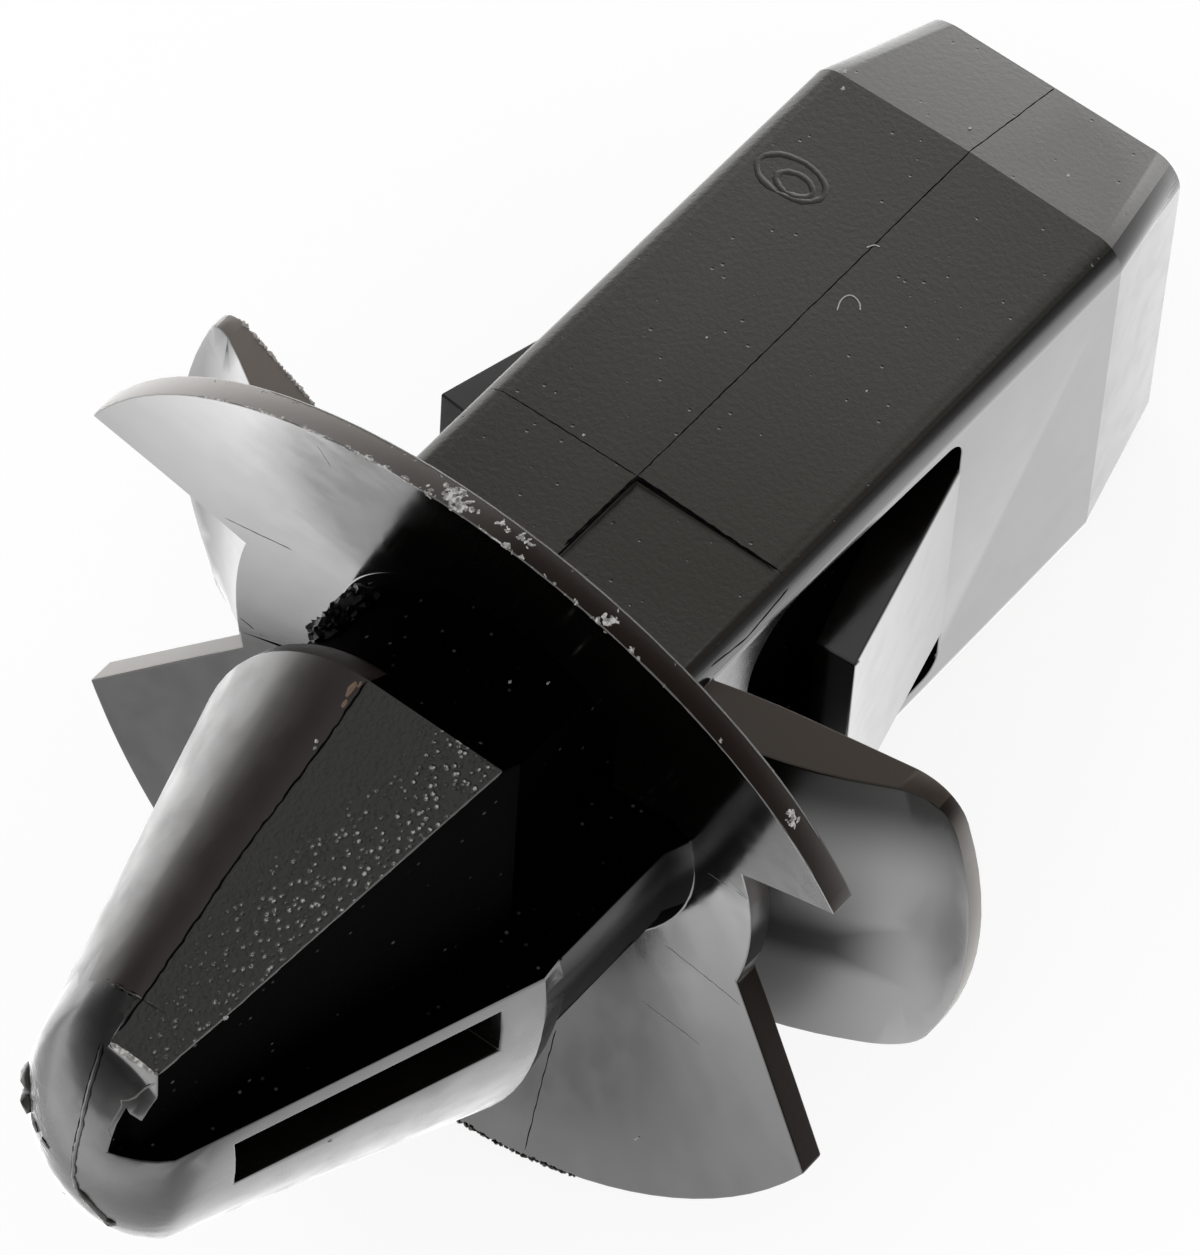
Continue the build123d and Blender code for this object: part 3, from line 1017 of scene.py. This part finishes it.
def addNoseEdges():
    burrAndHighlight = bead(noseEdges["burrAndHighlight"], **noseEdges["burrLine"])
    tipBurr = bead(noseEdges["tipBurr"], **noseEdges["tipBurrLine"])
    finishPiece([burrAndHighlight, tipBurr], "notch_wall_burr_and_highlight", "burrAndHighlight")
    finishPiece([bead(noseEdges["step"], **noseEdges["stepLine"])], "whitened_flat_end", "scuffAndGlint")
    finishPiece([bead(noseEdges["left"], **noseEdges["leftLine"])], "nose_parting_groove", "groove")
    finishPiece(flecks(noseEdges["nibs"], 510, noseEdges["nibStretch"]), "nose_nibs", "scuffAndGlint")
    finishPiece(flecks(noseEdges["flakes"], 520, noseEdges["flakeStretch"]), "tan_flake", "flake")


# Lines on the plug: the parting line and the witness lines of the insert
plugLines = {
    "parting": ((-0.1, 0, 3.73), (2.65, 0, 4.36), (12.36, 0, 4.36)),
    "partingLine": {"width": 0.026, "height": 0.005, "wobble": 0.007, "seed": 601},
    "seams": (  # width and places
        (0.06, (12.37, 0, 4.36), (14.4, -0.02, 4.36)),
        (0.026, (12.36, -3.3, 4.1), (12.36, -2.9, 4.28), (12.36, 0, 4.36)),
        (0.045, (12.36, 0, 4.36), (12.35, 2.9, 4.28), (12.3, 3.2, 4.2)),
        (0.03, (12.38, 3.4, 4.01), (13.61, 3.46, 3.9), (14.57, 3.41, 4.0)),
        (0.02, (16.67, 0.0, 3.85), (17.42, -0.04, 3.85), (19.3, 0.0, 3.85)),
    ),
    "seamLine": {"height": 0.008, "wobble": 0.006},
    "rings": ((5.19, -2.12, 0.43, 0.72), (5.28, -1.98, 0.24, 0.38)),  # middle and half sizes
    "ringLine": {"width": 0.13, "height": 0.018, "wobble": 0.01},
}


def addPlugLines():
    finishPiece([bead(plugLines["parting"], **plugLines["partingLine"])], "plug_parting_line", "groove")
    seams = []
    for i, (width, *points) in enumerate(plugLines["seams"]):
        seams.append(bead(points, width, seed=610 + i, **plugLines["seamLine"]))
    finishPiece(seams, "insert_seam_lines", "groove")

    # Ejector mark: two low oval rings, one in the other
    turns = [k * 15 * degree for k in range(25)]
    rings = [
        [(x + halfX * math.cos(t), y + halfY * math.sin(t), shape["plugHalfHeight"]) for t in turns]
        for x, y, halfX, halfY in plugLines["rings"]
    ]
    finishPiece(beads(rings, 630, plugLines["ringLine"]), "ejector_ring", "eroded")


lint = {
    "fibres": (
        (
            (7.12, 0.41, 4.35), (6.91, 0.31, 4.35), (6.72, 0.33, 4.35),
            (6.66, 0.46, 4.35), (6.73, 0.63, 4.34), (6.85, 0.72, 4.34),
        ),
        ((5.64, -0.06, 4.36), (5.5, 0.0, 4.36), (5.47, 0.11, 4.36)),
        ((17.36, 4.53, -6.58), (17.33, 4.60, -6.45)),
        ((11.8, 4.7, 2.4), (11.95, 4.68, 2.42)),
    ),
    "fibre": {"width": 0.028, "wobble": 0.002, "lift": 0.01},
    "specks": (
        ((2.55, -2.92, 4.26), 0.12), ((2.91, -2.69, 4.28), 0.10), ((2.12, -0.38, 4.23), 0.08),
        ((1.77, 1.6, 4.12), 0.08), ((16.48, 1.31, 3.65), 0.07), ((16.96, 0.84, 3.77), 0.07),
        ((12.24, -1.31, 4.32), 0.07), ((9.1, -1.0, 4.34), 0.05), ((8.2, 1.9, 4.3), 0.05),
    ),
}


def addLint():
    fibres = beads([curled(points) for points in lint["fibres"]], 700, lint["fibre"])
    finishPiece(fibres + flecks(lint["specks"], 720), "lint", "fibre")


# Fine scratches, pale or dark
scratches = {
    "pale": (
        ((16.08, 3.96, -2.33), (16.5, 5.94, -1.89)),
        ((16.43, 3.75, -3.87), (16.66, 5.28, -3.6)),
        ((16.03, 4.7, 0.52), (16.2, 5.26, 0.83)),
        ((16.27, 5.45, 0.96), (16.35, 5.73, 1.07)),
        ((17.63, -3.06, 7.89), (17.34, -2.96, 7.07)),
    ),
    "paleLine": {"width": 0.018, "height": 0.004, "wobble": 0.01},
    "dark": (
        ((16.55, -5.92, 2.31), (16.2, -4.66, 2.09)),
        ((16.32, -5.72, -0.72), (16.22, -5.28, -0.99)),
        ((16.85, 2.25, -5.78), (17.32, 2.32, -7.14), (17.79, 2.41, -8.48)),
    ),
    "darkLine": {"width": 0.025, "height": 0.004, "wobble": 0.01},
}


def addScratches():
    finishPiece(beads(scratches["pale"], 800, scratches["paleLine"]), "pale_scratches", "burrAndHighlight")
    finishPiece(beads(scratches["dark"], 820, scratches["darkLine"]), "dark_scratches", "groove")


# Ragged flash left on the edges of the left rear petal and the low rim
raggedEdges = {
    "lines": (
        ((13.72, -7.9, 3.75), (14.10, -5.9, 3.25)),
        ((17.87, 0.6, -8.92), (17.86, 1.68, -8.79), (17.84, 2.37, -8.64), (17.81, 3.6, -8.25)),
    ),
    "spacing": 0.07,
    "size": (0.05, 0.13),
    "stretch": (1.2, 0.8, 0.7),
}


def addRaggedEdges():
    chance = random.Random(90)
    parts = []
    for line in raggedEdges["lines"]:
        for start, end in zip(line, line[1:]):
            start, end = Vector(start), Vector(end)
            count = int((end - start).length / raggedEdges["spacing"])
            for i in range(count):
                spot = start.lerp(end, (i + chance.random()) / count)
                size = chance.uniform(*raggedEdges["size"])
                turn = chance.uniform(*crumbTurn)
                parts.append(fleck(spot, size, 900 + len(parts), raggedEdges["stretch"], turn=turn))
    finishPiece(parts, "ragged_petal_flash", "edge")


addRimScuffs()
addStemFlash()
addTip()
addNoseEdges()
addPlugLines()
addLint()
addScratches()
addRaggedEdges()
print("details made")

camera = {
    "place": (95.30, 57.69, 135.33),  # mm, measured along the moulding
    "turn": (36.637, -2.482, 128.418),  # degrees
    "lens": 282.0,
    "sensor": 36.0,
}


def addCamera():
    data = bpy.data.cameras.new("photoCamera")
    data.lens = camera["lens"]
    data.sensor_width = camera["sensor"]
    data.sensor_fit = "HORIZONTAL"
    data.clip_start = 0.01
    data.clip_end = 10
    eye = bpy.data.objects.new("photoCamera", data)
    bpy.context.scene.collection.objects.link(eye)
    turn = Euler([a * degree for a in camera["turn"]])
    eye.matrix_world = bodyMatrix @ Matrix.LocRotScale(Vector(camera["place"]) * mm, turn, None)
    bpy.context.scene.camera = eye


# Sizes and places here are in metres
studio = {
    "floorSize": 1.2,
    "floorWhite": "#f2f2f2",
    "floorSeen": 1.17,  # what only the camera sees of the floor's own white
    "floorShare": 0.74,
    # The floor's brightness in the part's reflections, across it, along it and at single places
    "floorAcross": (-0.010, 0.008, 2.85, 2.35),
    "floorFar": (0.030, 0.070, 1.0, 1.3 / 2.35),
    "floorBehind": (0.03, 0.12, 0.0, 0.9),
    "floorAhead": (0.0143, 0.0177, 1.0, 0.46),
    "floorTip": (0.025, 0.031, 1.0, 2.15),  # brighter again where the tip looks
    "patchPlace": (0.0128, -0.0062, 0),
    "patch": (0.002, 0.006, 1.28, 1.0),  # brighter patch on the left
    "paintedShadowPlace": (0.003, 0.016, 0.0075),  # middle and half sizes of the painted shadow below it, seen in reflections
    "paintedShadow": (0.2, 2.2, 0.86, 1.0),
    "softWorld": 0.75,
    # Height above the horizon as its sine, brightness in reflections
    "sky": (
        (0.0, 1.3), (0.12, 1.1), (0.22, 0.75), (0.42, 0.4),
        (0.62, 0.22), (0.77, 0.2), (0.92, 0.62), (1.0, 0.68),
    ),
    "skyBehind": (
        (0.0, 3.2), (0.26, 3.0), (0.42, 2.0), (0.57, 0.95), (0.71, 0.6), (0.87, 0.42), (1.0, 0.68),
    ),
    "behindTowards": -168,  # azimuth in degrees
    "behind": (0.78, 0.93),  # the closeness to it from which it counts
    "dimTowards": 110,
    "dim": (0.3, 0.9, 1.0, 0.45),
}


def addFloor():
    bpy.ops.mesh.primitive_plane_add(size=studio["floorSize"])
    floor = bpy.context.object
    floor.name = "floor"
    material, tree = newTree("matte white floor")
    light = addNode(tree, "LightPath")
    where = addNode(tree, "TexCoord").outputs["Object"]
    split = addNode(tree, "SeparateXYZ", where)
    x, y = split.outputs["X"], split.outputs["Y"]
    near = addNode(tree, "MapRange", y, *studio["floorAcross"])
    far = addNode(tree, "MapRange", y, *studio["floorFar"])
    away = addNode(tree, "Math", x, y, operation="ADD")
    away = addNode(tree, "Math", away, -1, operation="MULTIPLY")
    extra = addNode(tree, "MapRange", away, *studio["floorBehind"])
    gloss = addNode(tree, "Math", near, far, operation="MULTIPLY")
    gloss = addNode(tree, "Math", gloss, extra, operation="ADD")
    fromPatch = addNode(tree, "VectorMath", where, studio["patchPlace"], operation="DISTANCE")
    # Painted shadow: the floor's glow in reflections is dimmer in an oval below the part
    middle, halfLength, halfWidth = studio["paintedShadowPlace"]
    ratioX = addNode(tree, "Math", x, middle, operation="SUBTRACT")
    ratioX = addNode(tree, "Math", ratioX, halfLength, operation="DIVIDE")
    ratioX = addNode(tree, "Math", ratioX, 2, operation="POWER")
    ratioY = addNode(tree, "Math", y, halfWidth, operation="DIVIDE")
    ratioY = addNode(tree, "Math", ratioY, 2, operation="POWER")
    squares = addNode(tree, "Math", ratioX, ratioY, operation="ADD")
    for value, fade in ((x, "floorAhead"), (x, "floorTip"), (fromPatch, "patch"), (squares, "paintedShadow")):
        share = addNode(tree, "MapRange", value, *studio[fade])
        gloss = addNode(tree, "Math", gloss, share, operation="MULTIPLY")
    diffuse = addNode(tree, "BsdfDiffuse", linear(studio["floorWhite"]))
    white = addNode(tree, "Emission", Strength=studio["floorSeen"])
    bright = addNode(tree, "Emission", Strength=gloss)
    seen = addNode(tree, "MixShader", light.outputs["Is Camera Ray"], diffuse, white)
    mixed = addNode(tree, "MixShader", studio["floorShare"], diffuse, seen)
    shiny = addNode(tree, "MixShader", light.outputs["Is Glossy Ray"], mixed, bright)
    addNode(tree, "OutputMaterial", shiny)
    floor.data.materials.append(material)


def addWorld():
    # A pale room: bright low down and behind the part, dim half way up, softly lit overhead
    world = bpy.data.worlds.new("studio")
    bpy.context.scene.world = world
    world.use_nodes = True
    tree = world.node_tree
    tree.nodes.clear()
    light = addNode(tree, "LightPath")
    split = addNode(tree, "SeparateXYZ", addNode(tree, "TexCoord").outputs["Generated"])
    level = addNode(tree, "CombineXYZ", split.outputs["X"], split.outputs["Y"])
    level = addNode(tree, "VectorMath", level, operation="NORMALIZE")

    def brightness(stops):
        highest = max(s[1] for s in stops)
        node = addNode(tree, "ValToRGB", split.outputs["Z"])
        fillRamp(node, [(height, (*[bright / highest] * 3, 1)) for height, bright in stops])
        return addNode(tree, "Math", node, highest, operation="MULTIPLY")

    def closeness(azimuth):
        towards = (math.cos(azimuth * degree), math.sin(azimuth * degree), 0)
        return addNode(tree, "VectorMath", level, towards, operation="DOT_PRODUCT")

    front = brightness(studio["sky"])
    back = brightness(studio["skyBehind"])
    behind = addNode(tree, "MapRange", closeness(studio["behindTowards"]), *studio["behind"])
    step = addNode(tree, "Math", back, front, operation="SUBTRACT")
    step = addNode(tree, "Math", step, behind, operation="MULTIPLY")
    dim = addNode(tree, "MapRange", closeness(studio["dimTowards"]), *studio["dim"])
    sky = addNode(tree, "Math", front, dim, operation="MULTIPLY")
    sky = addNode(tree, "Math", sky, step, operation="ADD")
    shiny = addNode(tree, "Background", Strength=sky)
    soft = addNode(tree, "Background", Strength=studio["softWorld"])
    seen = addNode(tree, "Background", (1, 1, 1, 1), Strength=1.0)
    first = addNode(tree, "MixShader", light.outputs["Is Glossy Ray"], soft, shiny)
    second = addNode(tree, "MixShader", light.outputs["Is Camera Ray"], first, seen)
    addNode(tree, "OutputWorld", second)


addCamera()
addFloor()
addWorld()
bpy.context.scene.view_settings.view_transform = "Standard"
print("studio made")
